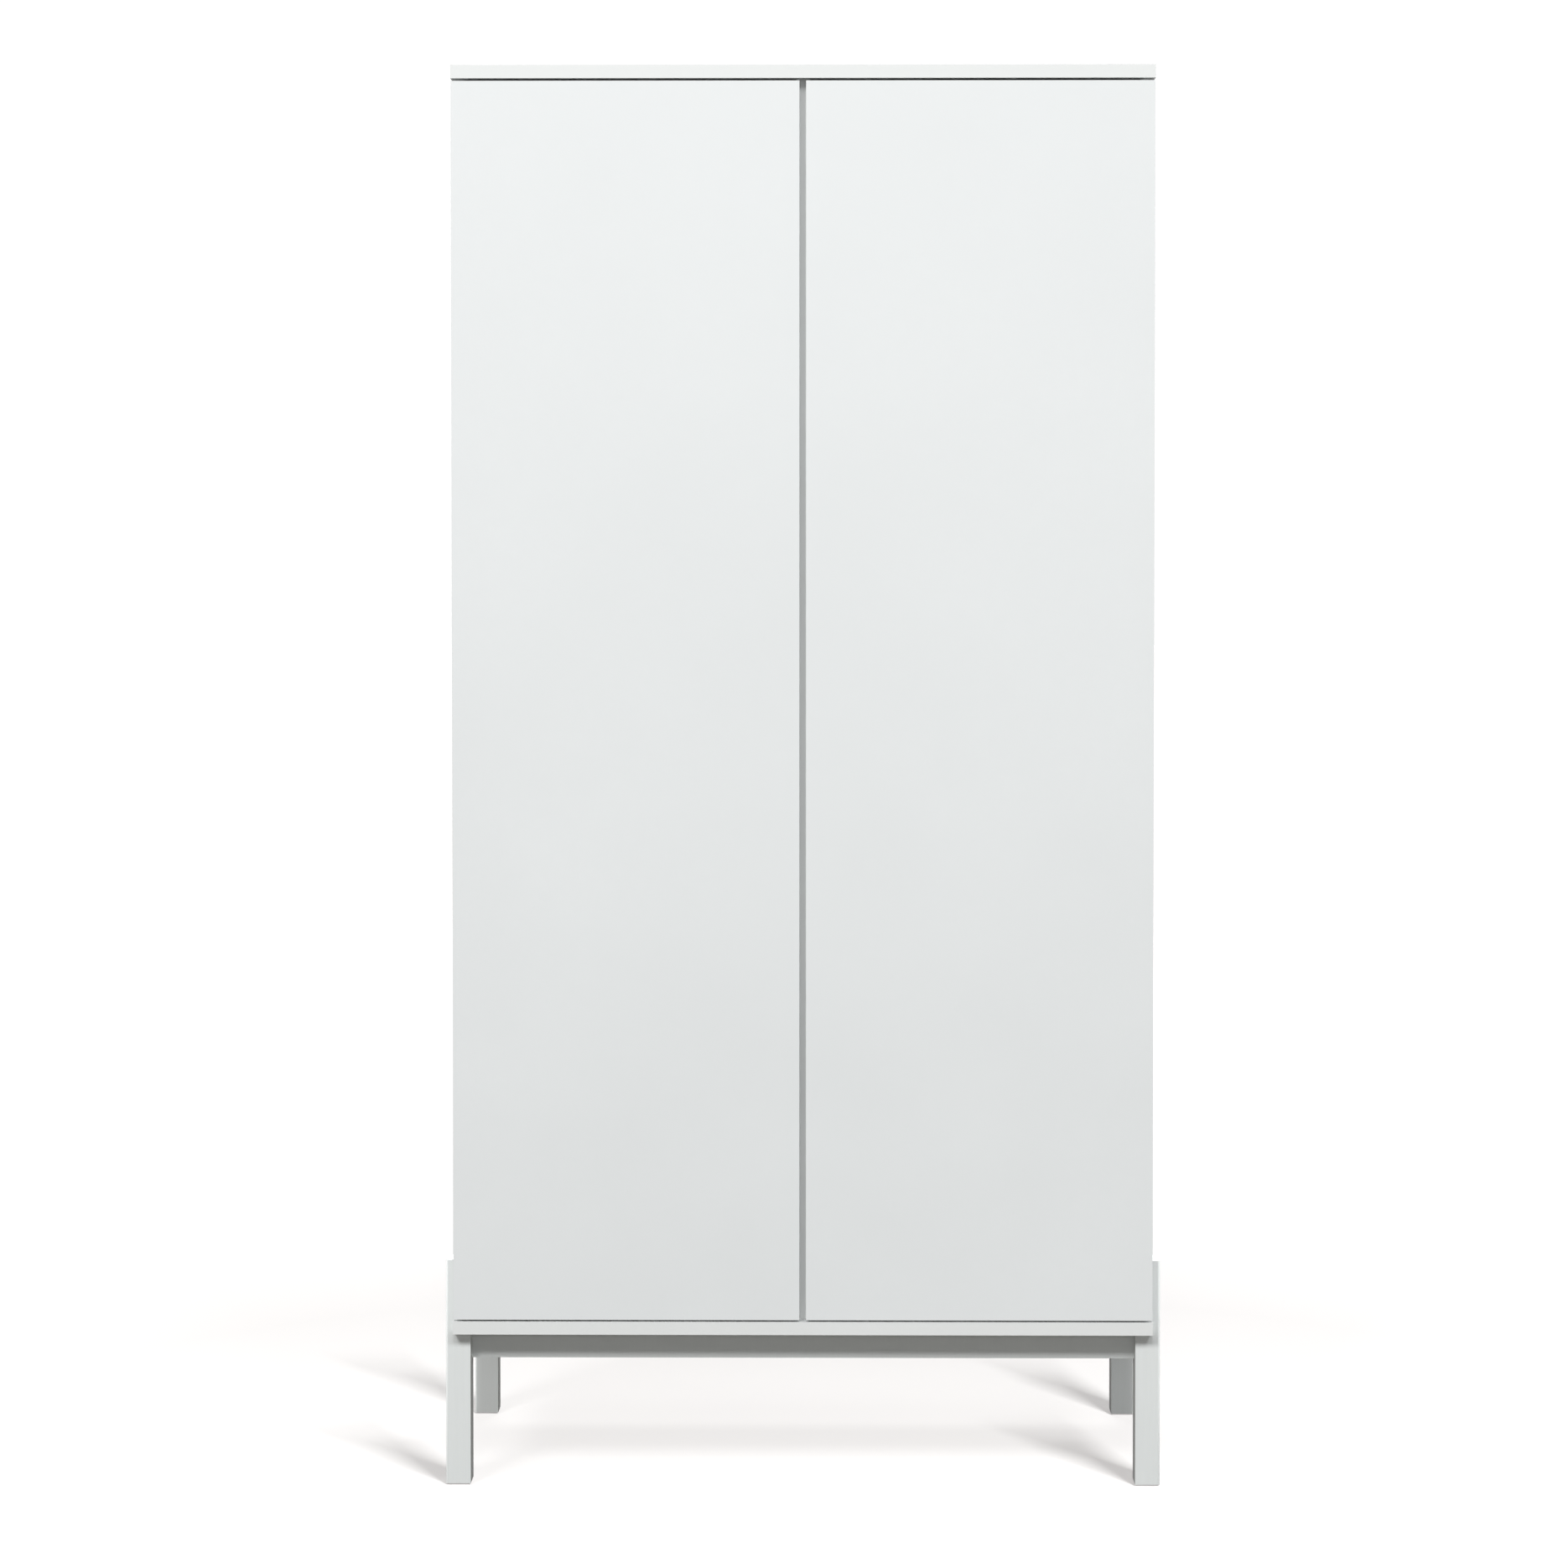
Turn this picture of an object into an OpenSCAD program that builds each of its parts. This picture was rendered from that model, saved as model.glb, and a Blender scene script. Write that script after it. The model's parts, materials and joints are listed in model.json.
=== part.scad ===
// Two-door wardrobe on a low leg frame.
// The origin is on the floor under the middle of the wardrobe. +Z is up and the doors face -Y.

/* [Wardrobe] */
// Height from the floor to the top face
overall_h = 1950; // [1900:10:2050]
// Depth from the door faces to the back edges
overall_d = 550; // [520:5:600]
// Width over the side panels
cabinet_w = 960; // [900:10:1040]
// Thickness of every board
board_t = 18; // [18:1:19]
// How far the top and bottom boards stand out past each side panel
board_overhang = 0.5; // [0:0.5:0.5]

/* [Doors] */
// Door thickness
door_t = 18; // [18:1:18]
// Gap between the two doors
door_mid_gap = 9; // [6:0.5:10]
// Gap above the doors
door_top_gap = 3.5; // [2:0.5:5]
// Gap under the doors
door_bottom_gap = 2.5; // [2:0.5:5]
// Hinges on each door
hinge_count = 4; // [4:1:4]

/* [Leg frame] */
// Height of the bottom board's underside above the floor
frame_h = 212; // [190:1:230]
// Leg width across the front
leg_w = 34; // [32:1:40]
// Leg depth front to back
leg_d = 45; // [40:1:50]
// Thickness of the upper part of a leg, which stands beside the cabinet
leg_lip_t = 11.5; // [11:0.5:12]
// How far a leg rises above the bottom board's underside
leg_rise = 100; // [80:1:120]
// Height of the rails between the legs
rail_h = 40; // [35:1:50]
// How far the front apron is set back behind the leg faces
apron_setback = 26; // [20:1:26]

/* [Inside] */
// Adjustable shelves in the left compartment
shelf_count = 4; // [4:1:4]
// Height of the hat shelf's underside above the floor
hat_shelf_z = 1620; // [1600:10:1640]
// How far the clothes rail's centre hangs below the hat shelf
rail_drop = 60; // [55:1:80]

/* [Hidden] */

white = "#eef0f0";
plunger_white = "#eeeeec";
hardboard = "#e4e4de";
steel = "#b9bcc0";
nickel = "#cfd1d3";
grey_plastic = "#c9cccd";
beech = "#d9b98a";

// Main planes
half_w = cabinet_w / 2;
front_y = -overall_d / 2;
back_y = overall_d / 2;
door_back_gap = 2;
carcass_y = front_y + door_t + door_back_gap;  // front edges of the side panels and partition
inner_x = half_w - board_t;            // inner faces of the side panels
mid_x = board_t / 2;                   // faces of the partition
panel_xs = [-half_w + board_t / 2, 0, half_w - board_t / 2];  // middles of the upright panels
floor_z = frame_h + board_t;           // top face of the bottom board
ceiling_z = overall_h - board_t;       // underside of the top board
door_z0 = floor_z + door_bottom_gap;
door_z1 = ceiling_z - door_top_gap;
door_w = half_w - door_mid_gap / 2;
tiny = 0.1;                            // overshoot of a cut past a face
$fn = 48;

// Back panels, in grooves in the boards around them
back_t = 3;
back_front_y = back_y - 13;
groove_depth = 6;
groove_play = 0.2;
back_grip = 5;                         // how deep a back panel sits in its groove

// Screws, and the plays of round pieces in their holes
screw_r = 1.75;
screw_head_r = 3.4;
screw_head_h = 1.6;
slot_w = 0.7;
slot_depth = 0.8;
slot_share = 0.6;                      // half a cross slot's length over the head's radius
side_play = 0.05;                      // around a screw, dowel, bolt, cup or pin
hole_play = 0.3;                       // under a screw, cam or cup in its blind hole
end_play = 0.5;                        // past the end of a dowel, bolt, shelf pin or rail

// Hinges, seen from above with x inward from the cabinet's outer face and y back from the door's face.
// The door turns about the upright line through [6, 7.4].
link_pivot = [32.4, 23.2];             // the links turn about this point
link_knee = [14.6, 9.3];
link_tip = [7.3, 13];
cup_x = 20.5;
cup_r = 17.5;
cup_depth = 11.5;
cup_wall = 1;
cup_lip = 1;                           // how far the cup's round flange covers the door
cup_wing_w = 12;
cup_screw = [9.5, 22.5];               // from the cup's centre: inward, and up or down
cup_screw_l = cup_wall + 10.5;
cup_head_r = 3.2;
cup_head_h = 0.6;
hinge_margin = 97.5;                   // from a door's end to its outermost hinge
hinge_step = (door_z1 - door_z0 - 2 * hinge_margin) / (hinge_count - 1);
hinge_zs = [for (i = [0 : hinge_count - 1]) door_z0 + hinge_margin + i * hinge_step];
system_y = 57;                         // line of the plate screws and the front shelf pins
plate_t = 2.5;
plate_front_y = system_y - 18;
plate_back_y = system_y + 20;
plate_half_h = 8;
plate_wing_half_w = 8;
plate_wing_half_h = 24;
plate_rail_x = 26;                     // top of the rail that the arm is screwed to
plate_rail_inset = 2;                  // from the plate's ends and edges
plate_screw_z = 16;
plate_screw_l = plate_t + 13;
arm_top_x = 36;
arm_low_x = 24;
arm_back_y = 78;
arm_front_y = 24;
arm_nose_x = 28.9;                     // low front corner of a cheek
arm_slope_y = 40;                      // where a cheek reaches its full height
arm_web_y = 29;                        // front edge of the web
arm_eye_r = 3.6;
arm_half_h = 9;
arm_screw_ys = [36, 68];
arm_screw_l = 14;
cheek_t = 1.5;
link_half_h = 5;
link_t = 2.4;
link_eye_r = 2.9;
link_knuckle_r = 1.5;                  // rounds at the link's bend and tip
link_pin_r = 1.55;
link_pin_l = 2 * arm_half_h + 1.2;

// Shelves and their pins
shelf_play = 0.75;                     // gap at each end of a shelf
shelf_front_y = carcass_y + 20;
shelf_back_y = back_front_y - 2;
shelf_step = 330;
shelf_zs = [for (i = [1 : shelf_count]) floor_z + i * shelf_step];
pin_r = 2.45;
pin_hole_r = 2.5;
pin_hole_depth = 9;
pin_head_r = 3.5;
pin_head_l = 10;
pin_ys = [front_y + system_y, 225];
pin_hole_step = 32;

// Clothes rail: an oval tube
tube_w = 15;
tube_h = 30;
tube_wall = 1.2;
tube_play = 0.3;
socket_wall = 4;
socket_depth = 12;
socket_base_t = 3;
socket_base_h = 66;
socket_screw_z = 24;
socket_screw_l = socket_base_t + 12;
rail_z = hat_shelf_z - rail_drop;

// Cam fittings and dowels in the joints of the boards
cam_r = 7.45;
cam_depth = 13.2;
cam_inset = 34;                        // from a panel's end to the cam's centre
cam_bolt_play = 0.3;
cam_hollow_play = 1;                   // between the bolt's hole in a cam and the cam's rim
cam_bolt_short = 1.5;                  // from the cam's centre to the bolt's end
cam_slot = [1.2, 8, 1.4];              // depth, length and width of each cross slot
cam_bolt_r = 3.4;
cam_bolt_in_board = 10.5;
dowel_r = 3.95;
dowel_in_board = 10;
dowel_in_panel = 20;
cam_ys = [-195, 215];
dowel_ys = [-163, 183];

// Legs, glides, brackets
glide_h = 2;
glide_r = 11;
glide_nail_r = 2;
glide_nail = 15;
leg_outer_x = half_w + board_overhang + leg_lip_t;
leg_inner_x = leg_outer_x - leg_w;
leg_round = 3;
rail_x = leg_inner_x + 7;              // inner face of a side rail
apron_y = carcass_y + apron_setback;
apron_proud = 1;                       // aprons stand past the legs' inner corners
rail_t = leg_d + apron_proud - apron_setback;
rear_apron_y = back_y - leg_d - apron_proud;
bracket_arm = 40;
bracket_t = 2;
bracket_h = 26;
bracket_screw_ds = [16, 32];           // from the corner along an arm
bracket_screw_z = 6;
bracket_screw_l = bracket_t + 13;
leg_screw_zs = [floor_z + 22, floor_z + 62];
leg_screw_ys = [carcass_y + leg_d / 2, back_y - 29];
leg_screw_r = 2.2;
leg_screw_l = 27;
leg_screw_head_r = 4.2;
leg_screw_head_h = 2;

// Wall brackets
wall_bracket_x = 350;
wall_bracket_w = 20;
wall_bracket_leg = 40;
wall_hole_r = 2.75;
wall_hole_z = ceiling_z - 27;
wall_bracket_y = back_front_y - 0.5;   // back face of a bracket
wall_access_r = 5;                     // hole in the back panel behind a bracket
wall_screw_ys = [10, 28];
wall_screw_l = bracket_t + 11.5;

// Push latches
latch_z = 1080;
latch_x = 15.5;                        // axis of the plunger from the middle of the wardrobe
latch_w = 13;
latch_front_y = carcass_y + 2;
latch_l = 76;
latch_h = 18;
latch_bore_r = 4.6;
plunger_r = 4.2;
plunger_l = 56;
strike_r = 8;
strike_t = 1;
strike_pin_l = 9;
plunger_gap = 0.3;                     // between a plunger's tip and its strike plate
latch_spring_l = 8;                    // room behind a plunger for its spring
latch_tab_l = 9;
latch_tab_t = 3;
latch_tab_y = latch_front_y + 8;       // front edge of the front tabs
latch_screw_l = latch_tab_t + 5;
latch_head_r = 3;
latch_head_h = 1.4;

// ---------- helpers ----------

// Draws its children on the left, or their mirror image on the right
module on_side(side) {
    if (side == "left")
        children();
    else
        mirror([1, 0, 0]) children();
}

// A block between two corners
module block(lo, hi) {
    translate(lo) cube(hi - lo);
}

// A flat bar from one point to another, seen from above
module bar(a, b, t) {
    d = b - a;
    translate(a) rotate(atan2(d[1], d[0])) translate([0, -t / 2]) square([norm(d), t]);
}

// A slot shape, long side up
module oval(w, h) {
    square([w, h - w], center = true);
    for (s = [-1, 1])
        translate([0, s * (h - w) / 2]) circle(d = w);
}

// A screw with its head's underside at the origin and its shank along -Z
module screw(l, r = screw_r, head_r = screw_head_r, head_h = screw_head_h) {
    difference() {
        union() {
            translate([0, 0, -l]) cylinder(r = r, h = l);
            cylinder(r = head_r, h = head_h);
        }
        for (a = [0, 90])
            rotate(a)
                translate([-head_r * slot_share, -slot_w / 2, head_h - slot_depth])
                    cube([2 * head_r * slot_share, slot_w, slot_depth + tiny]);
    }
}

// The hole that a screw of the same length sits in
module screw_hole(l, r = screw_r) {
    translate([0, 0, -l - hole_play]) cylinder(r = r + side_play, h = l + hole_play + tiny);
}

// ---------- places where small parts sit, all on the left side ----------

// Hinge places: x inward from the cabinet's outer face, y back from the door's face
module at_hinges() {
    for (z = hinge_zs)
        translate([-half_w, front_y, z]) children();
}

module at_cup_screws() {
    at_hinges()
        for (s = [-1, 1])
            translate([cup_x + cup_screw[0], door_t + cup_wall, s * cup_screw[1]])
                rotate([-90, 0, 0]) children();
}

module at_plate_screws() {
    at_hinges()
        for (s = [-1, 1])
            translate([board_t + plate_t, system_y, s * plate_screw_z]) rotate([0, 90, 0]) children();
}

module at_arm_screws() {
    at_hinges()
        for (y = arm_screw_ys)
            translate([arm_top_x, y, 0]) rotate([0, 90, 0]) children();
}

module at_pivots() {
    at_hinges() translate([link_pivot[0], link_pivot[1], 0]) children();
}

// Joints between an upright panel and the top or bottom board, pointing out of the panel's end
module at_panel_ends(x, ys) {
    for (y = ys) {
        translate([x, y, ceiling_z]) children();
        translate([x, y, floor_z]) mirror([0, 0, 1]) children();
    }
}

module at_leg_screws() {
    for (y = leg_screw_ys, z = leg_screw_zs)
        translate([-inner_x, y, z]) rotate([0, 90, 0]) children();
}

// Shelf pins on one wall: the pin's own end points along -X into the wall
module at_pins(wall_x, zs) {
    for (y = pin_ys, z = zs)
        translate([wall_x, y, z - pin_head_r]) rotate([0, 90, 0]) children();
}

module at_latch_screws() {
    for (y = [latch_tab_y, latch_front_y + latch_l - latch_tab_l], s = [-1, 1])
        translate([-mid_x - latch_tab_t, y + latch_tab_l / 2,
                   latch_z + s * (latch_h + latch_tab_l) / 2])
            rotate([0, -90, 0]) children();
}

module at_socket_screws() {
    for (s = [-1, 1]) {
        translate([mid_x + socket_base_t, 0, rail_z + s * socket_screw_z])
            rotate([0, 90, 0]) children();
        translate([inner_x - socket_base_t, 0, rail_z + s * socket_screw_z])
            rotate([0, -90, 0]) children();
    }
}

module at_wall_bracket_screws() {
    for (x = [-1, 1] * wall_bracket_x, y = wall_screw_ys)
        translate([x, wall_bracket_y - wall_bracket_leg + y, ceiling_z - bracket_t])
            rotate([180, 0, 0]) children();
}

// The four corners of the leg frame, with each inner corner at the origin and arms along -X and +Y
module at_frame_corners() {
    for (mx = [0, 1]) {
        mirror([mx, 0, 0]) translate([rail_x, apron_y + rail_t, frame_h - rail_h / 2]) children();
        mirror([mx, 0, 0]) translate([rail_x, rear_apron_y, frame_h - rail_h / 2])
            mirror([0, 1, 0]) children();
    }
}

module at_corner_bracket_screws() {
    at_frame_corners() {
        for (d = bracket_screw_ds, z = [-bracket_screw_z, bracket_screw_z]) {
            translate([-d, bracket_t, z]) rotate([-90, 0, 0]) children();
            translate([-bracket_t, d, z]) rotate([0, -90, 0]) children();
        }
    }
}

// ---------- boards ----------

// The grooves around the left back panel
module back_grooves() {
    block([-inner_x - groove_depth, back_front_y - groove_play, floor_z - groove_depth],
          [-mid_x + groove_depth, back_front_y + back_t + groove_play, ceiling_z + groove_depth]);
}

// Holes for the cam bolts and dowels in the top and bottom boards
module board_holes() {
    for (x = panel_xs) {
        at_panel_ends(x, cam_ys)
            translate([0, 0, -tiny])
                cylinder(r = cam_bolt_r + side_play, h = cam_bolt_in_board + tiny);
        at_panel_ends(x, dowel_ys)
            translate([0, 0, -tiny])
                cylinder(r = dowel_r + side_play, h = dowel_in_board + end_play + tiny);
    }
}

module flat_board(z) {
    block([-half_w - board_overhang, front_y, z], [half_w + board_overhang, back_y, z + board_t]);
}

module top_board() {
    color(white)
        difference() {
            flat_board(ceiling_z);
            board_holes();
            for (side = ["left", "right"])
                on_side(side) back_grooves();
            at_wall_bracket_screws() screw_hole(wall_screw_l);
        }
}

module bottom_board() {
    color(white)
        difference() {
            flat_board(frame_h);
            board_holes();
            for (side = ["left", "right"])
                on_side(side) back_grooves();
        }
}

// Cuts in an upright panel for its cams, cam bolts and dowels; the cams open towards +X
module panel_joint_cuts(x, face_x) {
    at_panel_ends(x, cam_ys)
        translate([0, 0, -cam_inset]) cylinder(r = cam_bolt_r + side_play, h = cam_inset + tiny);
    at_panel_ends(face_x, cam_ys)
        translate([tiny, 0, -cam_inset]) rotate([0, -90, 0])
            cylinder(r = cam_r + side_play, h = cam_depth + hole_play + tiny);
    at_panel_ends(x, dowel_ys)
        translate([0, 0, -dowel_in_panel - end_play])
            cylinder(r = dowel_r + side_play, h = dowel_in_panel + end_play + tiny);
}

// Rows of three pin holes around each shelf height, drilled along -X from a wall
module pin_holes(wall_x, zs) {
    for (k = [-1 : 1])
        translate([0, 0, k * pin_hole_step])
            at_pins(wall_x, zs)
                translate([0, 0, -pin_hole_depth]) cylinder(r = pin_hole_r, h = pin_hole_depth + tiny);
}

module side_panel(side) {
    pins = side == "left" ? shelf_zs : [hat_shelf_z];
    color(white)
        difference() {
            on_side(side)
                difference() {
                    block([-half_w, carcass_y, floor_z], [-inner_x, back_y, ceiling_z]);
                    back_grooves();
                    panel_joint_cuts(-half_w + board_t / 2, -inner_x);
                    at_plate_screws() screw_hole(plate_screw_l);
                    at_leg_screws() screw_hole(leg_screw_l, leg_screw_r);
                    pin_holes(-inner_x, pins);
                }
            if (side == "right")
                at_socket_screws() screw_hole(socket_screw_l);
        }
}

module center_partition() {
    color(white)
        difference() {
            block([-mid_x, carcass_y, floor_z], [mid_x, back_y, ceiling_z]);
            for (side = ["left", "right"])
                on_side(side) {
                    back_grooves();
                    at_latch_screws() screw_hole(latch_screw_l);
                }
            panel_joint_cuts(0, mid_x);
            mirror([1, 0, 0]) pin_holes(mid_x, shelf_zs);
            pin_holes(mid_x, [hat_shelf_z]);
            at_socket_screws() screw_hole(socket_screw_l);
        }
}

module back_panel(side) {
    color(hardboard)
        on_side(side)
            difference() {
                block([-inner_x - back_grip, back_front_y, floor_z - back_grip],
                      [-mid_x + back_grip, back_front_y + back_t, ceiling_z + back_grip]);
                translate([-wall_bracket_x, back_front_y - tiny, wall_hole_z])
                    rotate([-90, 0, 0]) cylinder(r = wall_access_r, h = back_t + 2 * tiny);
            }
}

// ---------- leg frame ----------

// Plan of a leg on the left, with its two outer edges rounded; y runs from 0 to leg_d
module leg_plan(x0, x1) {
    difference() {
        translate([x0, 0]) square([x1 - x0, leg_d]);
        for (m = [0, 1])
            translate([0, m * leg_d]) mirror([0, m]) difference() {
                translate([x0 - tiny, -tiny]) square(leg_round + tiny);
                translate([x0 + leg_round, leg_round]) circle(r = leg_round);
            }
    }
}

module leg(side, y) {
    lip_x = -half_w - board_overhang;
    color(white)
        on_side(side)
            difference() {
                translate([0, y, 0]) {
                    translate([0, 0, glide_h])
                        linear_extrude(frame_h - glide_h) leg_plan(-leg_outer_x, -leg_inner_x);
                    translate([0, 0, frame_h - tiny])
                        linear_extrude(leg_rise + tiny) leg_plan(-leg_outer_x, lip_x);
                }
                at_leg_screws() screw_hole(leg_screw_l, leg_screw_r);
                translate([-leg_outer_x + leg_w / 2, y + leg_d / 2, glide_h - tiny])
                    cylinder(r = glide_nail_r + side_play, h = glide_nail + tiny);
                at_corner_bracket_screws() screw_hole(bracket_screw_l);
            }
}

// A rail with the pilot holes of the corner brackets
module rail(lo, hi) {
    color(white)
        difference() {
            block(lo, hi);
            at_corner_bracket_screws() screw_hole(bracket_screw_l);
        }
}

module front_apron() {
    rail([-leg_inner_x, apron_y, frame_h - rail_h],
         [leg_inner_x, apron_y + rail_t, frame_h]);
}

module rear_apron() {
    rail([-leg_inner_x, rear_apron_y, frame_h - rail_h],
         [leg_inner_x, rear_apron_y + rail_t, frame_h]);
}

module base_rail(x0) {
    rail([x0, carcass_y + leg_d, frame_h - rail_h], [x0 + rail_t, back_y - leg_d, frame_h]);
}

module center_base_rail() {
    rail([-rail_t / 2, apron_y + rail_t, frame_h - rail_h], [rail_t / 2, rear_apron_y, frame_h]);
}

module leg_glides() {
    color(grey_plastic)
        for (x = [-1, 1], y = [carcass_y + leg_d / 2, back_y - leg_d / 2])
            translate([x * (leg_outer_x - leg_w / 2), y, 0]) {
                cylinder(r = glide_r, h = glide_h);
                translate([0, 0, glide_h - tiny]) cylinder(r = glide_nail_r, h = glide_nail);
            }
}

module corner_brackets() {
    color(steel)
        difference() {
            at_frame_corners() {
                block([-bracket_arm, 0, -bracket_h / 2], [0, bracket_t, bracket_h / 2]);
                block([-bracket_t, 0, -bracket_h / 2], [0, bracket_arm, bracket_h / 2]);
            }
            at_corner_bracket_screws() screw_hole(bracket_t);
        }
}

module corner_bracket_screws() {
    color(steel) at_corner_bracket_screws() screw(bracket_screw_l);
}

module leg_screws() {
    color(steel)
        for (side = ["left", "right"])
            on_side(side) at_leg_screws()
                screw(leg_screw_l, leg_screw_r, leg_screw_head_r, leg_screw_head_h);
}

// ---------- inside ----------

module shelf(x0, x1, z) {
    color(white)
        block([x0 + shelf_play, shelf_front_y, z], [x1 - shelf_play, shelf_back_y, z + board_t]);
}

// A shelf pin with its shoulder against the wall at the origin and its peg along -Z
module shelf_pin() {
    translate([0, 0, -pin_hole_depth + end_play]) cylinder(r = pin_r, h = pin_hole_depth);
    cylinder(r = pin_head_r, h = pin_head_l);
}

module shelf_pins() {
    color(nickel) {
        at_pins(-inner_x, shelf_zs) shelf_pin();
        mirror([1, 0, 0]) at_pins(mid_x, shelf_zs) shelf_pin();
        at_pins(mid_x, [hat_shelf_z]) shelf_pin();
        mirror([1, 0, 0]) at_pins(-inner_x, [hat_shelf_z]) shelf_pin();
    }
}

module clothes_rail() {
    end_gap = socket_base_t + end_play;
    color(nickel)
        translate([mid_x + end_gap, 0, rail_z]) rotate([90, 0, 90])
            linear_extrude(inner_x - mid_x - 2 * end_gap)
                difference() {
                    oval(tube_w, tube_h);
                    oval(tube_w - 2 * tube_wall, tube_h - 2 * tube_wall);
                }
}

// A rail socket with its base on the wall at the origin and its mouth towards +X
module rail_socket() {
    rotate([90, 0, 90]) {
        linear_extrude(socket_base_t)
            oval(tube_w + 2 * socket_wall, socket_base_h);
        linear_extrude(socket_depth)
            difference() {
                oval(tube_w + 2 * socket_wall, tube_h + 2 * socket_wall);
                oval(tube_w + 2 * tube_play, tube_h + 2 * tube_play);
            }
    }
}

module rail_sockets() {
    color(nickel)
        difference() {
            union() {
                translate([mid_x, 0, rail_z]) rail_socket();
                translate([inner_x, 0, rail_z]) mirror([1, 0, 0]) rail_socket();
            }
            at_socket_screws() screw_hole(socket_base_t);
        }
}

module rail_socket_screws() {
    color(steel) at_socket_screws() screw(socket_screw_l);
}

module cam_disc() {
    difference() {
        rotate([0, -90, 0]) cylinder(r = cam_r, h = cam_depth);
        translate([-board_t / 2, 0, 0])
            cylinder(r = cam_bolt_r + cam_bolt_play, h = cam_r + cam_hollow_play);
        for (a = [0, 90])
            rotate([a, 0, 0])
                translate([-cam_slot[0], -cam_slot[1] / 2, -cam_slot[2] / 2])
                    cube([cam_slot[0] + tiny, cam_slot[1], cam_slot[2]]);
    }
}

module cam_discs() {
    color(nickel)
        for (x = [-inner_x, mid_x])
            at_panel_ends(x, cam_ys) translate([0, 0, -cam_inset]) cam_disc();
    color(nickel)
        mirror([1, 0, 0]) at_panel_ends(-inner_x, cam_ys) translate([0, 0, -cam_inset]) cam_disc();
}

module cam_bolts() {
    end_in_cam = cam_inset - cam_bolt_short;
    color(steel)
        for (x = panel_xs)
            at_panel_ends(x, cam_ys)
                translate([0, 0, -end_in_cam])
                    cylinder(r = cam_bolt_r, h = end_in_cam + cam_bolt_in_board - end_play);
}

module wood_dowels() {
    color(beech)
        for (x = panel_xs)
            at_panel_ends(x, dowel_ys)
                translate([0, 0, -dowel_in_panel])
                    cylinder(r = dowel_r, h = dowel_in_panel + dowel_in_board);
}

module wall_brackets() {
    y0 = wall_bracket_y - wall_bracket_leg;
    color(steel)
        difference() {
            for (x = [-1, 1] * wall_bracket_x)
                translate([x - wall_bracket_w / 2, 0, ceiling_z]) {
                    block([0, y0, -bracket_t], [wall_bracket_w, wall_bracket_y, 0]);
                    block([0, wall_bracket_y - bracket_t, -wall_bracket_leg],
                          [wall_bracket_w, wall_bracket_y, 0]);
                }
            at_wall_bracket_screws() screw_hole(bracket_t);
            for (x = [-1, 1] * wall_bracket_x)
                translate([x, wall_bracket_y + tiny, wall_hole_z]) rotate([90, 0, 0])
                    cylinder(r = wall_hole_r, h = bracket_t + 2 * tiny);
        }
}

module wall_bracket_screws() {
    color(steel) at_wall_bracket_screws() screw(wall_screw_l);
}

// ---------- doors and hinges ----------

module door(side) {
    color(white)
        on_side(side)
            difference() {
                block([-half_w, front_y, door_z0], [-half_w + door_w, front_y + door_t, door_z1]);
                at_hinges()
                    translate([cup_x, door_t + tiny, 0]) rotate([90, 0, 0])
                        cylinder(r = cup_r + side_play, h = cup_depth + hole_play + tiny);
                at_cup_screws() screw_hole(cup_screw_l);
                translate([-latch_x, front_y + door_t, latch_z])
                    rotate([-90, 0, 0]) screw_hole(strike_pin_l);
            }
}

// A hinge cup seen from its mouth, which is at z = 0, with a flange on top
module hinge_cup() {
    translate([0, 0, -cup_depth])
        difference() {
            cylinder(r = cup_r, h = cup_depth + cup_wall);
            translate([0, 0, cup_wall]) cylinder(r = cup_r - cup_wall, h = cup_depth + tiny);
        }
    linear_extrude(cup_wall)
        difference() {
            union() {
                circle(r = cup_r + cup_lip);
                translate([cup_screw[0], 0]) square([cup_wing_w, 2 * cup_screw[1]], center = true);
                for (s = [-1, 1])
                    translate([cup_screw[0], s * cup_screw[1]]) circle(d = cup_wing_w);
            }
            circle(r = cup_r - cup_wall);
        }
}

module hinge_cups(side) {
    color(nickel)
        on_side(side)
            difference() {
                at_hinges() translate([cup_x, door_t, 0]) rotate([-90, 0, 0]) hinge_cup();
                at_cup_screws() screw_hole(cup_wall);
            }
}

module cup_screws(side) {
    color(steel) on_side(side) at_cup_screws() screw(cup_screw_l, screw_r, cup_head_r, cup_head_h);
}

module hinge_plates(side) {
    rail_half_h = plate_half_h - plate_rail_inset;
    color(nickel)
        on_side(side)
            difference() {
                at_hinges() {
                    block([board_t, plate_front_y, -plate_half_h],
                          [board_t + plate_t, plate_back_y, plate_half_h]);
                    block([board_t, system_y - plate_wing_half_w, -plate_wing_half_h],
                          [board_t + plate_t, system_y + plate_wing_half_w, plate_wing_half_h]);
                    block([board_t, plate_front_y + plate_rail_inset, -rail_half_h],
                          [plate_rail_x, plate_back_y - plate_rail_inset, rail_half_h]);
                }
                at_plate_screws() screw_hole(plate_t);
                at_arm_screws() screw_hole(arm_top_x - board_t);
            }
}

module hinge_plate_screws() {
    color(steel)
        for (side = ["left", "right"])
            on_side(side) at_plate_screws() screw(plate_screw_l);
}

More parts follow.
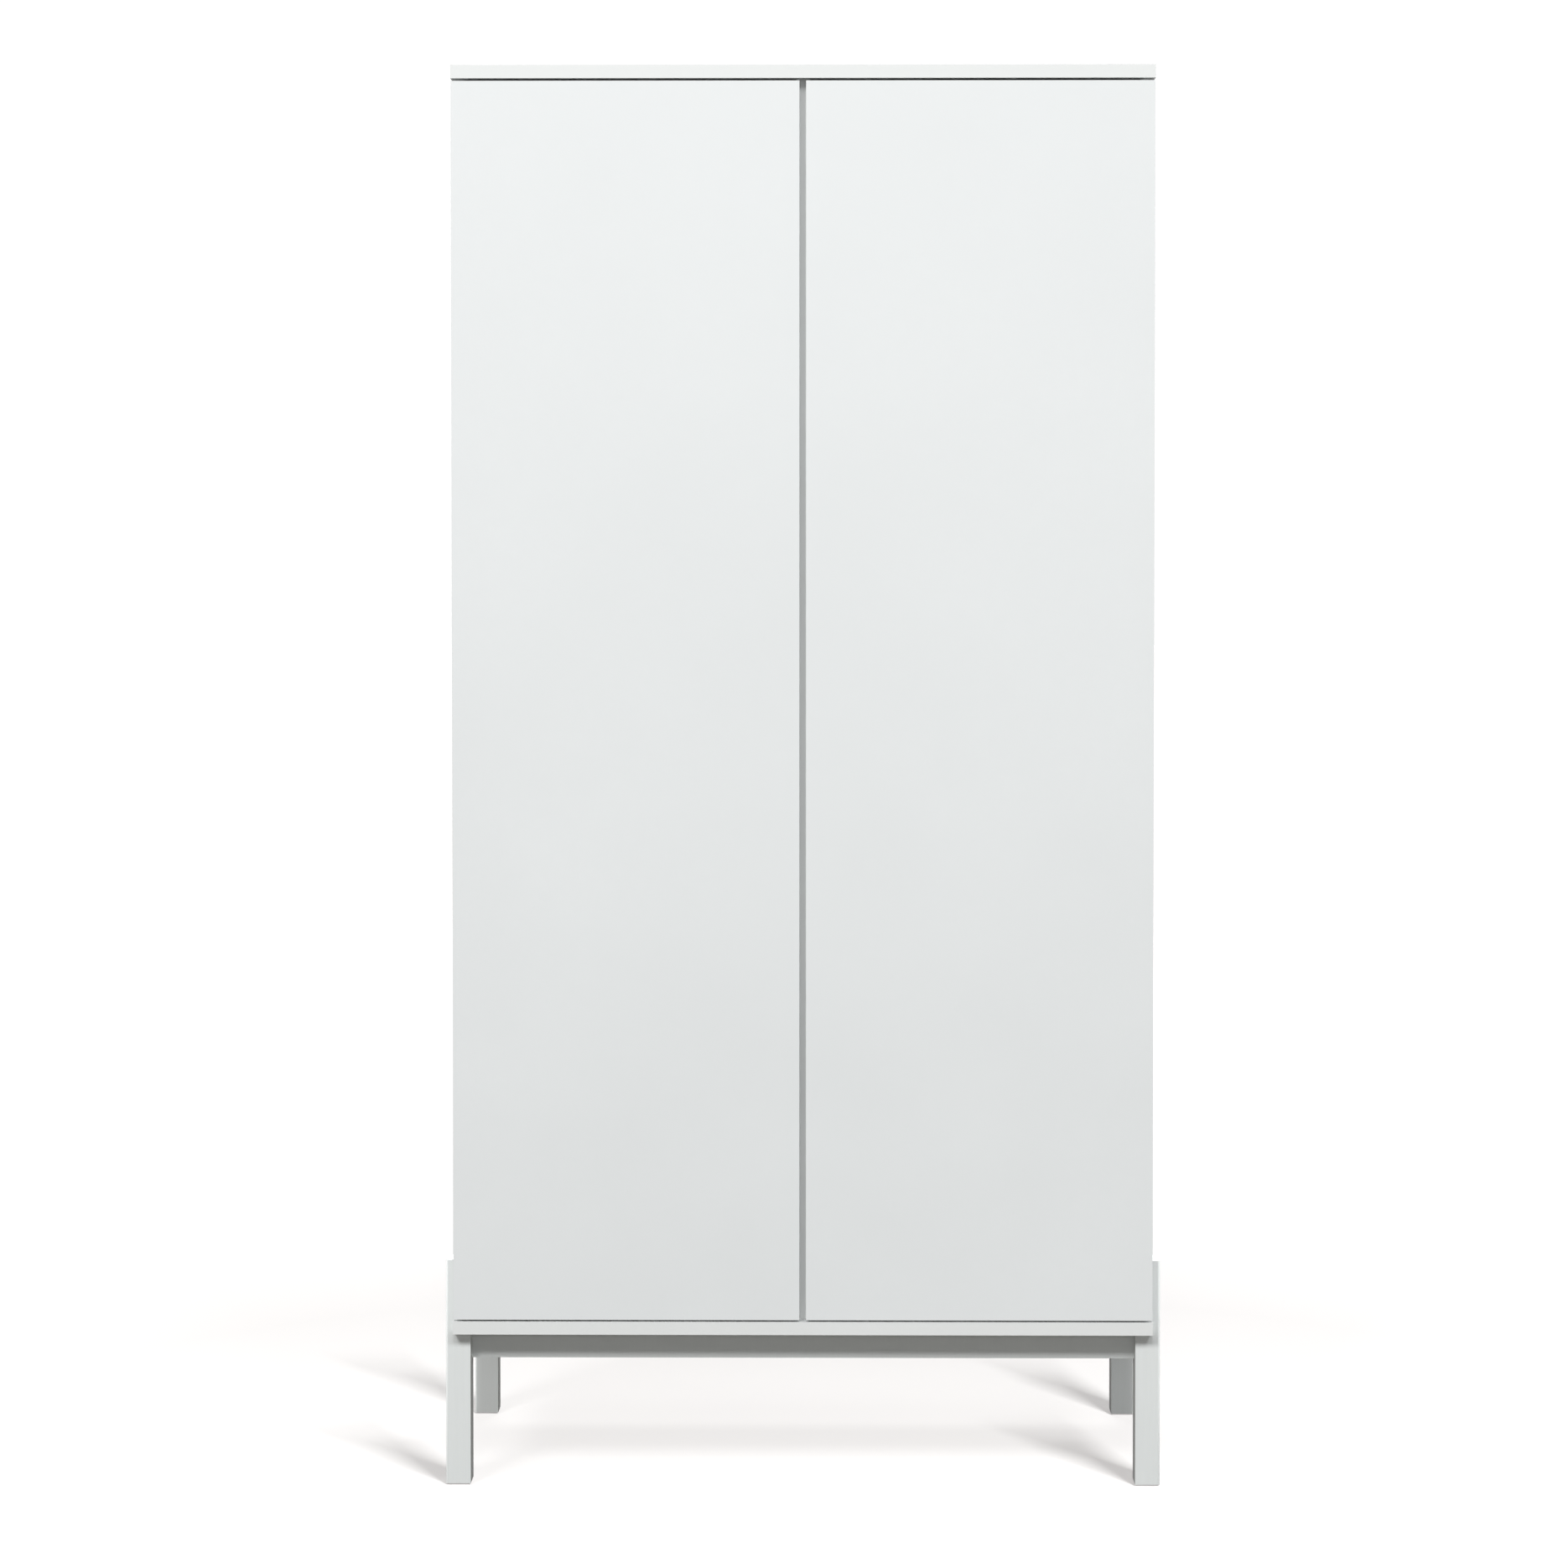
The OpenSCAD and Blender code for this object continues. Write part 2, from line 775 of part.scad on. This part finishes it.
// Two cheeks around the mounting plate's rail, and a web over it
module hinge_arm() {
    for (z = [-arm_half_h, arm_half_h - cheek_t])
        translate([0, 0, z])
            linear_extrude(cheek_t)
                difference() {
                    union() {
                        translate(link_pivot) circle(r = arm_eye_r);
                        polygon([[arm_nose_x, arm_front_y], [arm_low_x, arm_slope_y],
                                 [arm_low_x, arm_back_y], [arm_top_x, arm_back_y],
                                 [arm_top_x, arm_front_y]]);
                    }
                    translate(link_pivot) circle(r = link_pin_r + side_play);
                }
    block([arm_top_x - cheek_t, arm_web_y, -arm_half_h], [arm_top_x, arm_back_y, arm_half_h]);
}

module hinge_arms(side) {
    color(nickel)
        on_side(side)
            difference() {
                at_hinges() hinge_arm();
                at_arm_screws() screw_hole(cheek_t);
            }
}

module hinge_arm_screws() {
    color(steel)
        for (side = ["left", "right"])
            on_side(side) at_arm_screws() screw(arm_screw_l);
}

module hinge_links(side) {
    color(nickel)
        on_side(side)
            at_hinges()
                translate([0, 0, -link_half_h])
                    linear_extrude(2 * link_half_h)
                        difference() {
                            union() {
                                bar(link_pivot, link_knee, link_t);
                                bar(link_knee, link_tip, link_t);
                                for (p = [link_knee, link_tip])
                                    translate(p) circle(r = link_knuckle_r);
                                translate(link_pivot) circle(r = link_eye_r);
                            }
                            translate(link_pivot) circle(r = link_pin_r + side_play);
                        }
}

module link_pins(side) {
    color(steel)
        on_side(side) at_pivots()
            cylinder(r = link_pin_r, h = link_pin_l, center = true);
}

// ---------- push latches ----------

module latch_housing(side) {
    y1 = latch_front_y + latch_l;
    color(grey_plastic)
        on_side(side)
            difference() {
                union() {
                    block([-mid_x - latch_w, latch_front_y, latch_z - latch_h / 2],
                          [-mid_x, y1, latch_z + latch_h / 2]);
                    for (y = [latch_tab_y, y1 - latch_tab_l])
                        block([-mid_x - latch_tab_t, y, latch_z - latch_h / 2 - latch_tab_l],
                              [-mid_x, y + latch_tab_l, latch_z + latch_h / 2 + latch_tab_l]);
                }
                translate([-latch_x, latch_front_y - tiny, latch_z])
                    rotate([-90, 0, 0]) cylinder(r = latch_bore_r, h = plunger_l + latch_spring_l);
                at_latch_screws() screw_hole(latch_tab_t);
            }
}

module latch_screws() {
    color(steel)
        for (side = ["left", "right"])
            on_side(side) at_latch_screws() screw(latch_screw_l, screw_r, latch_head_r, latch_head_h);
}

module latch_plunger(side) {
    tip_y = front_y + door_t + strike_t + plunger_gap;
    color(plunger_white)
        on_side(side)
            translate([-latch_x, tip_y, latch_z]) rotate([-90, 0, 0])
                cylinder(r = plunger_r, h = plunger_l);
}

module strike_plate(side) {
    color(steel)
        on_side(side)
            translate([-latch_x, front_y + door_t, latch_z]) rotate([-90, 0, 0]) {
                cylinder(r = strike_r, h = strike_t);
                translate([0, 0, -strike_pin_l]) cylinder(r = screw_r, h = strike_pin_l + tiny);
            }
}

// ---------- assembly ----------

top_board();
bottom_board();
side_panel("left");  // left_side_panel
side_panel("right");  // right_side_panel
center_partition();
back_panel("left");  // left_back_panel
back_panel("right");  // right_back_panel
leg("left", carcass_y);  // front_left_leg
leg("right", carcass_y);  // front_right_leg
leg("left", back_y - leg_d);  // rear_left_leg
leg("right", back_y - leg_d);  // rear_right_leg
front_apron();
rear_apron();
base_rail(-rail_x - rail_t);  // left_base_rail
base_rail(rail_x);  // right_base_rail
center_base_rail();
leg_glides();
corner_brackets();
corner_bracket_screws();
leg_screws();
shelf(-inner_x, -mid_x, shelf_zs[0]);  // left_shelf_1
shelf(-inner_x, -mid_x, shelf_zs[1]);  // left_shelf_2
shelf(-inner_x, -mid_x, shelf_zs[2]);  // left_shelf_3
shelf(-inner_x, -mid_x, shelf_zs[3]);  // left_shelf_4
shelf(mid_x, inner_x, hat_shelf_z);  // hat_shelf
shelf_pins();
clothes_rail();
rail_sockets();
rail_socket_screws();
cam_discs();
cam_bolts();
wood_dowels();
wall_brackets();
wall_bracket_screws();
door("left");  // left_door
door("right");  // right_door
hinge_cups("left");  // left_hinge_cups
hinge_cups("right");  // right_hinge_cups
cup_screws("left");  // left_cup_screws
cup_screws("right");  // right_cup_screws
hinge_plates("left");  // left_hinge_plates
hinge_plates("right");  // right_hinge_plates
hinge_plate_screws();
hinge_arms("left");  // left_hinge_arms
hinge_arms("right");  // right_hinge_arms
hinge_arm_screws();
hinge_links("left");  // left_hinge_links
hinge_links("right");  // right_hinge_links
link_pins("left");  // left_link_pins
link_pins("right");  // right_link_pins
latch_housing("left");  // left_latch_housing
latch_housing("right");  // right_latch_housing
latch_screws();
latch_plunger("left");  // left_latch_plunger
latch_plunger("right");  // right_latch_plunger
strike_plate("left");  // left_strike_plate
strike_plate("right");  // right_strike_plate
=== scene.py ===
"""A white two-door wardrobe on a leg frame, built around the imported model.

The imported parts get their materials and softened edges. A few small pieces that they leave out
are added, then the floor, the lights and the camera.
"""
import json
import math

import bmesh
import bpy
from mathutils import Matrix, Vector


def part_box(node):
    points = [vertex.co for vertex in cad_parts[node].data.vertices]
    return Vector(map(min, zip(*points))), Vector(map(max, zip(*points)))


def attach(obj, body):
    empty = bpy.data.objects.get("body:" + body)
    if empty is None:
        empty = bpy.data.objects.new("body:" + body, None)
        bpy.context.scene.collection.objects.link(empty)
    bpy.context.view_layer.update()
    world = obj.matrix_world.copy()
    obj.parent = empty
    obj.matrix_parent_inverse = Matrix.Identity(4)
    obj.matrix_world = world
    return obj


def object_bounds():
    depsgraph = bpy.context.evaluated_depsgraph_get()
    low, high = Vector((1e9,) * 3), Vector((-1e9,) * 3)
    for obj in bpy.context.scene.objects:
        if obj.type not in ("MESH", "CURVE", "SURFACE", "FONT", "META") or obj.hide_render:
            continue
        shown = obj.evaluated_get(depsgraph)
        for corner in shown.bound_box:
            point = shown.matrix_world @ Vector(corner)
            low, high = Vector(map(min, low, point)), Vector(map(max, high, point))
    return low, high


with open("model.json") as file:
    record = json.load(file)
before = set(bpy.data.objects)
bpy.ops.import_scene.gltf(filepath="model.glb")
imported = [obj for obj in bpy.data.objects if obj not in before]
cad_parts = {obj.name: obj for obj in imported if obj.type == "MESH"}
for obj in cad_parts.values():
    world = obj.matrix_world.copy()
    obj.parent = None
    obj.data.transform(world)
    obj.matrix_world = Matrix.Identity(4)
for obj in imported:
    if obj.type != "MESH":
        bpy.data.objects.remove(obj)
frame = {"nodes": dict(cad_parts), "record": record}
NODES = frame["nodes"]
cad_low, cad_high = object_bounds()

MM = 0.001

# ---------------------------------------------------------------- places taken from the frame

door_low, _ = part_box("left_door")
FRONT_Y = door_low.y
HEIGHT = cad_high.z

# ---------------------------------------------------------------- sizes of the small added pieces

BAND_THICKNESS = 0.45 * MM
BAND_PROUD = 0.02 * MM  # over the shelf's top and underside
BAND_ROUNDING = 0.2 * MM

HINGES = 4  # on each door, evenly spaced
ARM_HALF_HEIGHT = 9 * MM
COVER_HALF_HEIGHT = 7 * MM
COVER_DEPTH = 21 * MM
COVER_THICKNESS = 0.9 * MM
COVER_SETBACK = 41.5 * MM  # from the doors' front face
COVER_ROUNDING = 0.4 * MM

# ---------------------------------------------------------------- tones of the studio

ROOM_LIGHT = 0.2
BACKDROP = 1.05  # a little over white, so that no grey shows
FLOOR_HALF_SIZE = 60.0
FLOOR_TONE = (0.30, 0.297, 0.294)
FLOOR_BOUNCE = (0.09, 0.086, 0.08)
# The floor's glow is painted light, seen by the camera alone; weaker near the wardrobe, it paints
# the floor darker round it.
GLOW_TONE = (1.0, 0.965, 0.955)
GLOW_STRENGTH = (0.4, 1.1)  # near the wardrobe, and far from it
GLOW_REACH = (1.3, 4.5)  # metres from the middle where the glow starts and stops rising
PLAIN_WHITE = (1.0, 1.0, 1.0)
WARM_WHITE = (1.0, 0.995, 0.985)
COOL_WHITE = (0.965, 0.985, 1.0)


# ---------------------------------------------------------------- node helpers


class Shader:
    """A material and short ways to add nodes to it.

    Patterns use the object's own coordinates, in metres.
    """

    def __init__(self, name):
        self.material = bpy.data.materials.new(name)
        self.material.use_nodes = True
        self.tree = self.material.node_tree
        self.bsdf = self.tree.nodes["Principled BSDF"]
        self.coords = self.add("ShaderNodeTexCoord").outputs["Object"]

    def add(self, kind, **settings):
        node = self.tree.nodes.new(kind)
        for key, value in settings.items():
            setattr(node, key, value)
        return node

    def link(self, source, target):
        self.tree.links.new(source, target)

    def stretched(self, scale):
        """Object coordinates scaled per axis: a small factor makes a long grain along that axis."""
        mapping = self.add("ShaderNodeMapping")
        mapping.inputs["Scale"].default_value = scale
        self.link(self.coords, mapping.inputs["Vector"])
        return mapping.outputs["Vector"]

    def noise(self, scale, detail=2.0, rough=0.5, vector=None):
        node = self.add("ShaderNodeTexNoise")
        node.inputs["Scale"].default_value = scale
        node.inputs["Detail"].default_value = detail
        node.inputs["Roughness"].default_value = rough
        self.link(vector or self.coords, node.inputs["Vector"])
        return node.outputs["Fac"]

    def spread(self, value, low, high, from_low=0.3, from_high=0.7):
        """Maps a value to the range low..high. Noise mostly lies between 0.3 and 0.7."""
        node = self.add("ShaderNodeMapRange")
        node.inputs["From Min"].default_value = from_low
        node.inputs["From Max"].default_value = from_high
        node.inputs["To Min"].default_value = low
        node.inputs["To Max"].default_value = high
        self.link(value, node.inputs["Value"])
        return node.outputs["Result"]

    def mix(self, factor, first, second):
        """Mixes two colours. Each is a colour or a socket."""
        node = self.add("ShaderNodeMix", data_type="RGBA")
        color_sockets = [s for s in node.inputs if s.type == "RGBA"]
        self.link(factor, node.inputs["Factor"])
        for socket, value in zip(color_sockets, (first, second)):
            if isinstance(value, tuple):
                socket.default_value = (*value, 1.0)
            else:
                self.link(value, socket)
        return [s for s in node.outputs if s.type == "RGBA"][0]

    def multiply(self, first, second):
        """The product of a socket and a number or another socket."""
        node = self.add("ShaderNodeMath", operation="MULTIPLY")
        self.link(first, node.inputs[0])
        if isinstance(second, float):
            node.inputs[1].default_value = second
        else:
            self.link(second, node.inputs[1])
        return node.outputs["Value"]

    def bump(self, height, strength, distance, below=None):
        node = self.add("ShaderNodeBump")
        node.inputs["Strength"].default_value = strength
        node.inputs["Distance"].default_value = distance
        self.link(height, node.inputs["Height"])
        if below is not None:
            self.link(below, node.inputs["Normal"])
        return node.outputs["Normal"]

    def edges(self, radius):
        """Near 1 within about a radius of a sharp edge, and 0 on flat faces."""
        bevel = self.add("ShaderNodeBevel", samples=4)
        bevel.inputs["Radius"].default_value = radius
        geometry = self.add("ShaderNodeNewGeometry")
        dot = self.add("ShaderNodeVectorMath", operation="DOT_PRODUCT")
        self.link(bevel.outputs["Normal"], dot.inputs[0])
        self.link(geometry.outputs["Normal"], dot.inputs[1])
        return self.spread(dot.outputs["Value"], 1.0, 0.0, from_low=0.75, from_high=0.99)

    def finish(self, color, roughness, normal=None, **plain):
        """Links the patterns, and sets each plain value on the shader's own socket."""
        for socket, value in (("Base Color", color), ("Roughness", roughness), ("Normal", normal)):
            if value is not None:
                self.link(value, self.bsdf.inputs[socket])
        for key, value in plain.items():
            self.bsdf.inputs[key.replace("_", " ")].default_value = value
        return self.material


def linear(red, green, blue):
    """An sRGB colour of 0..255 as the linear colour that shaders take."""
    return tuple(
        c / 255 / 12.92 if c <= 10 else ((c / 255 + 0.055) / 1.055) ** 2.4
        for c in (red, green, blue)
    )


def scaled(tone, *factors):
    """A tone times one factor for all its channels, or times a factor for each."""
    if len(factors) == 1:
        factors *= len(tone)
    return tuple(c * f for c, f in zip(tone, factors))


# ---------------------------------------------------------------- materials

COATING = {"Specular_IOR_Level": 0.5, "IOR": 1.48}


def painted_board(name, tone, peel=0.05, rough=(0.36, 0.46)):
    """White coated board: a faint orange peel, cloudy tone, and edges and creases a little darker
    and warmer in random patches; in the creases this is painted shade.
    """
    s = Shader(name)
    cloud = s.spread(s.noise(2.2, detail=4.0), 0.0, 1.0)
    color = s.mix(cloud, scaled(tone, 0.965), tone)
    color = s.mix(s.spread(s.noise(60.0, detail=3.0), 0.0, 0.35), color, scaled(tone, 0.975))
    edge_patches = s.spread(s.noise(45.0, detail=4.0), 0.0, 0.35)
    # darker, warmer tone in patches near sharp edges and creases; in the creases it is painted
    # shade
    edge = s.multiply(s.edges(1.6 * MM), edge_patches)
    color = s.mix(edge, color, scaled(tone, 0.86, 0.84, 0.80))
    roughness = s.spread(s.noise(9.0, detail=5.0), *rough)
    fine = s.bump(s.noise(2600.0, detail=1.0), 0.02, 0.05 * MM)
    orange_peel = s.bump(s.noise(420.0, detail=2.0), peel, 0.4 * MM, below=fine)
    return s.finish(color, roughness, orange_peel, **COATING)


def painted_wood(name, tone):
    """White lacquer over solid wood: the grain shows as faint long lines along the piece."""
    s = Shader(name)
    grain = s.noise(260.0, detail=5.0, rough=0.65, vector=s.stretched((1.0, 1.0, 0.05)))
    color = s.mix(s.spread(grain, 0.0, 0.5), tone, scaled(tone, 0.95))
    edge_patches = s.spread(s.noise(50.0, detail=4.0), 0.0, 0.4)
    # darker, warmer tone in patches near sharp edges and creases; in the creases it is painted
    # shade
    edge = s.multiply(s.edges(1.8 * MM), edge_patches)
    color = s.mix(edge, color, scaled(tone, 0.86, 0.83, 0.78))
    roughness = s.spread(s.noise(14.0, detail=4.0), 0.38, 0.5)
    peel = s.bump(s.noise(480.0, detail=2.0), 0.04, 0.4 * MM)
    lines = s.bump(grain, 0.12, 0.25 * MM, below=peel)
    return s.finish(color, roughness, lines, **COATING)


def hardboard(name, tone):
    """Painted hardboard: matte, with pressed fibres."""
    s = Shader(name)
    fibres = s.noise(900.0, detail=6.0, rough=0.7, vector=s.stretched((1.0, 1.0, 0.35)))
    color = s.mix(s.spread(fibres, 0.0, 1.0), scaled(tone, 0.93), tone)
    roughness = s.spread(s.noise(20.0), 0.55, 0.7)
    return s.finish(color, roughness, s.bump(fibres, 0.25, 0.3 * MM), Specular_IOR_Level=0.35)


def metal(name, tone, rough, brushed=(1.0, 1.0, 0.2)):
    """Plated metal with a fine brushed or rolled surface, dulled patches, and a painted highlight
    along its edges.
    """
    s = Shader(name)
    lines = s.noise(1800.0, detail=4.0, vector=s.stretched(brushed))
    patches = s.spread(s.noise(60.0, detail=3.0), 0.0, 1.0)
    color = s.mix(patches, scaled(tone, 0.95), tone)
    # painted highlight: the edges are lightened as if they caught the light
    painted_highlight = tuple(min(1.0, c) for c in scaled(tone, 1.12))
    color = s.mix(s.multiply(s.edges(0.4 * MM), 0.5), color, painted_highlight)
    roughness = s.spread(s.noise(110.0, detail=4.0), *rough)
    return s.finish(color, roughness, s.bump(lines, 0.03, 0.1 * MM), Metallic=1.0)


def plastic(name, tone, rough=(0.42, 0.55)):
    """Moulded plastic with a fine spark texture."""
    s = Shader(name)
    color = s.mix(s.spread(s.noise(90.0, detail=3.0), 0.0, 1.0), scaled(tone, 0.94), tone)
    roughness = s.spread(s.noise(200.0), *rough)
    spark = s.bump(s.noise(3500.0, detail=2.0), 0.12, 0.08 * MM)
    return s.finish(color, roughness, spark, Specular_IOR_Level=0.5)


def raw_beech(name):
    """Unfinished beech with short dark flecks along the grain."""
    s = Shader(name)
    grain = s.noise(700.0, detail=5.0, rough=0.6, vector=s.stretched((1.0, 1.0, 0.08)))
    color = s.mix(s.spread(grain, 0.0, 1.0), (0.42, 0.24, 0.11), (0.62, 0.41, 0.22))
    return s.finish(color, s.spread(grain, 0.5, 0.7), s.bump(grain, 0.2, 0.1 * MM))


MATERIALS = {
    "white_door": painted_board("door_foil", (0.765, 0.785, 0.79)),
    "white_board": painted_board(
        "board_melamine", (0.765, 0.78, 0.775), peel=0.07, rough=(0.4, 0.52)
    ),
    "white_frame": painted_wood("frame_lacquer", (0.75, 0.775, 0.77)),
    "back_hardboard": hardboard("back_hardboard", (0.74, 0.74, 0.71)),
    "nickel_fittings": metal("satin_nickel", (0.72, 0.70, 0.66), (0.26, 0.33)),
    "zinc_steel": metal("zinc_steel", (0.66, 0.68, 0.71), (0.30, 0.38)),
    "rail_chrome": metal(
        "rail_chrome", (0.80, 0.81, 0.82), (0.08, 0.17), brushed=(0.04, 1.0, 1.0)
    ),
    "grey_plastic": plastic("grey_plastic", linear(205, 208, 208)),
    "plunger_plastic": plastic("plunger_plastic", linear(238, 238, 236), rough=(0.3, 0.42)),
    "beech": raw_beech("raw_beech"),
}

# How far the sharp edges are rounded, on the painted parts only
EDGE_WIDTH = {
    "white_door": 1.2 * MM,
    "white_board": 0.8 * MM,
    "white_frame": 1.0 * MM,
}


def soften(piece, width):
    """Rounds the sharp edges with modifiers, which leave the CAD mesh itself as it is."""
    weld = piece.modifiers.new("join", "WELD")
    weld.merge_threshold = 0.01 * MM
    bevel = piece.modifiers.new("round_edges", "BEVEL")
    bevel.width = width
    bevel.segments = 3
    bevel.limit_method = "ANGLE"
    bevel.angle_limit = math.radians(35.0)
    bevel.use_clamp_overlap = True
    bevel.harden_normals = True


for part in frame["record"]["subparts"]:
    piece, slot = NODES[part["node"]], part["material_slot"]
    piece.data.materials.clear()
    piece.data.materials.append(MATERIALS[slot])
    if slot in EDGE_WIDTH:
        soften(piece, EDGE_WIDTH[slot])


# ---------------------------------------------------------------- small pieces not in the CAD


def add_piece(name, blocks, slot, body, width):
    """One piece made of blocks, each given by its lowest and highest corner.

    Its edges are rounded to the given width.
    """
    mesh = bpy.data.meshes.new(name)
    shape = bmesh.new()
    for block_low, block_high in blocks:
        made = bmesh.ops.create_cube(shape, size=1.0)["verts"]
        start = Vector(block_low)
        size = Vector(block_high) - start
        for vertex in made:
            vertex.co = start + Vector((vertex.co[i] + 0.5) * size[i] for i in range(3))
    shape.to_mesh(mesh)
    shape.free()
    mesh.materials.append(MATERIALS[slot])
    piece = bpy.data.objects.new(name, mesh)
    bpy.context.scene.collection.objects.link(piece)
    rounding = piece.modifiers.new("round_edges", "BEVEL")
    rounding.width = width
    rounding.segments = 2
    rounding.harden_normals = True
    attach(piece, body)


def add_shelf_edges():
    """The edge band on the front of each shelf, whose seam shows as a fine line."""
    for node in [n for n in NODES if "shelf" in n and n != "shelf_pins"]:
        low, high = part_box(node)
        band_low = (low.x, low.y - BAND_THICKNESS, low.z - BAND_PROUD)
        band_high = (high.x, low.y, high.z + BAND_PROUD)
        block = (band_low, band_high)
        add_piece(node + "_edge", [block], "white_door", "cabinet", BAND_ROUNDING)


def add_hinge_covers():
    """A pressed cover clipped on each hinge arm, between its two screws."""
    front = FRONT_Y + COVER_SETBACK
    for side in ("left", "right"):
        node = side + "_hinge_arms"
        low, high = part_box(node)
        if side == "left":
            near, far = high.x, high.x + COVER_THICKNESS
        else:
            near, far = low.x - COVER_THICKNESS, low.x
        step = (high.z - low.z - 2 * ARM_HALF_HEIGHT) / (HINGES - 1)
        blocks = []
        for i in range(HINGES):
            z = low.z + ARM_HALF_HEIGHT + i * step
            cover_low = (near, front, z - COVER_HALF_HEIGHT)
            cover_high = (far, front + COVER_DEPTH, z + COVER_HALF_HEIGHT)
            blocks.append((cover_low, cover_high))
        add_piece(side + "_hinge_covers", blocks, "zinc_steel", "cabinet", COVER_ROUNDING)


add_shelf_edges()
add_hinge_covers()


# ---------------------------------------------------------------- floor, light and camera


def make_floor():
    """A pale seamless floor.

    It looks white to the camera through a painted glow, which is weaker near the wardrobe and so
    paints the floor darker round it, and throws little light back up under the wardrobe.
    """
    mesh = bpy.data.meshes.new("floor")
    corners = [
        (x * FLOOR_HALF_SIZE, y * FLOOR_HALF_SIZE, 0)
        for x, y in ((-1, -1), (1, -1), (1, 1), (-1, 1))
    ]
    mesh.from_pydata(corners, [], [(0, 1, 2, 3)])
    floor = bpy.data.objects.new("floor", mesh)
    bpy.context.scene.collection.objects.link(floor)
    s = Shader("floor_paper")
    seen = s.add("ShaderNodeLightPath").outputs["Is Camera Ray"]
    pale = s.mix(s.spread(s.noise(0.8), 0.0, 1.0), FLOOR_TONE, scaled(FLOOR_TONE, 1.03))
    color = s.mix(seen, FLOOR_BOUNCE, pale)
    roughness = s.spread(s.noise(30.0), 0.8, 0.9)
    s.finish(color, roughness, Specular_IOR_Level=0.0, Emission_Color=(*GLOW_TONE, 1.0))
    # painted light: a glow seen by the camera alone, weaker near the wardrobe, so the floor there
    # is painted darker
    away = s.add("ShaderNodeVectorMath", operation="LENGTH")
    s.link(s.coords, away.inputs[0])
    glow = s.spread(away.outputs["Value"], *GLOW_STRENGTH, *GLOW_REACH)
    s.link(s.multiply(seen, glow), s.bsdf.inputs["Emission Strength"])
    mesh.materials.append(s.material)
    return floor


def area_light(name, place, target, size, power, color=PLAIN_WHITE, only=None):
    """A softbox aimed at a target. It lights everything, or only the objects of one collection."""
    light = bpy.data.lights.new(name, "AREA")
    light.shape = "RECTANGLE"
    light.size, light.size_y = size
    light.energy = power
    light.color = color
    lamp = bpy.data.objects.new(name, light)
    lamp.location = place
    aim = Vector(target) - Vector(place)
    lamp.rotation_euler = aim.to_track_quat("-Z", "Y").to_euler()
    bpy.context.scene.collection.objects.link(lamp)
    if only is not None:
        lamp.light_linking.receiver_collection = only
    return lamp


def group(name, objects):
    """A collection of objects for light linking."""
    made = bpy.data.collections.new(name)
    for o in objects:
        made.objects.link(o)
    return made


def make_lights(floor):
    """Softboxes all round the wardrobe.

    The side and rear ones light the wardrobe alone. The last two light the floor alone: one from
    behind, and one from the front right that only the legs shade, for their long streaks.
    """
    middle, foot = (0.0, 0.0, HEIGHT / 2), (0.0, 0.0, 0.0)
    pieces = [o for o in bpy.data.objects if o.type == "MESH" and o is not floor]
    wardrobe = group("lit_wardrobe", pieces)
    ground = group("lit_floor", [floor])
    for side, power, color in ((-1, 770, WARM_WHITE), (1, 440, COOL_WHITE)):
        area_light("key", (side * 4.2, -9.5, 8.2), middle, (2.7, 3.0), power, color)
        area_light("side", (side * 6.0, 0.0, 2.6), middle, (1.2, 2.0), 260, only=wardrobe)
    area_light("front", (0.0, -9.5, 8.2), middle, (1.5, 3.0), 310)
    area_light("low_front", (0.0, -9.5, 2.3), middle, (2.5, 1.0), 50)
    area_light("rear", (0.0, 6.5, 2.4), middle, (2.5, 2.0), 320, only=wardrobe)
    area_light("pool", (0.0, 4.2, 6.5), middle, (2.5, 2.0), 200, only=ground)
    lamp = area_light("leg_shadows", (3.1, -7.0, 5.6), foot, (2.2, 1.4), 2100, only=ground)
    legs = [NODES[n] for n in NODES if n.endswith("_leg")]
    lamp.light_linking.blocker_collection = group("shading_legs", legs)


def make_world():
    """Even soft light from all round, and plain white where the camera looks past the floor."""
    world = bpy.data.worlds.new("studio")
    world.use_nodes = True
    nodes, links = world.node_tree.nodes, world.node_tree.links
    light = nodes["Background"]
    light.inputs["Color"].default_value = (0.97, 0.99, 1.0, 1.0)
    light.inputs["Strength"].default_value = ROOM_LIGHT
    backdrop = nodes.new("ShaderNodeBackground")
    backdrop.inputs["Color"].default_value = (*PLAIN_WHITE, 1.0)
    backdrop.inputs["Strength"].default_value = BACKDROP
    path = nodes.new("ShaderNodeLightPath")
    chosen = nodes.new("ShaderNodeMixShader")
    links.new(path.outputs["Is Camera Ray"], chosen.inputs["Fac"])
    links.new(light.outputs["Background"], chosen.inputs[1])
    links.new(backdrop.outputs["Background"], chosen.inputs[2])
    links.new(chosen.outputs["Shader"], nodes["World Output"].inputs["Surface"])
    bpy.context.scene.world = world


def make_camera():
    """Stands 5.7 m in front of the doors, a little right of the middle, at chest height."""
    camera = bpy.data.cameras.new("camera")
    camera.sensor_width = 36.0
    camera.lens = 96.5
    camera.shift_y = -0.065
    eye = bpy.data.objects.new("camera", camera)
    eye.location = (0.0316, FRONT_Y - 5.743, 1.27)
    yaw, pitch = math.radians(0.57), math.radians(-1.606)
    eye.rotation_euler = (math.pi / 2 + pitch, 0.0, yaw)
    bpy.context.scene.collection.objects.link(eye)
    bpy.context.scene.camera = eye


make_world()
make_lights(make_floor())
make_camera()
bpy.context.scene.view_settings.view_transform = "Standard"
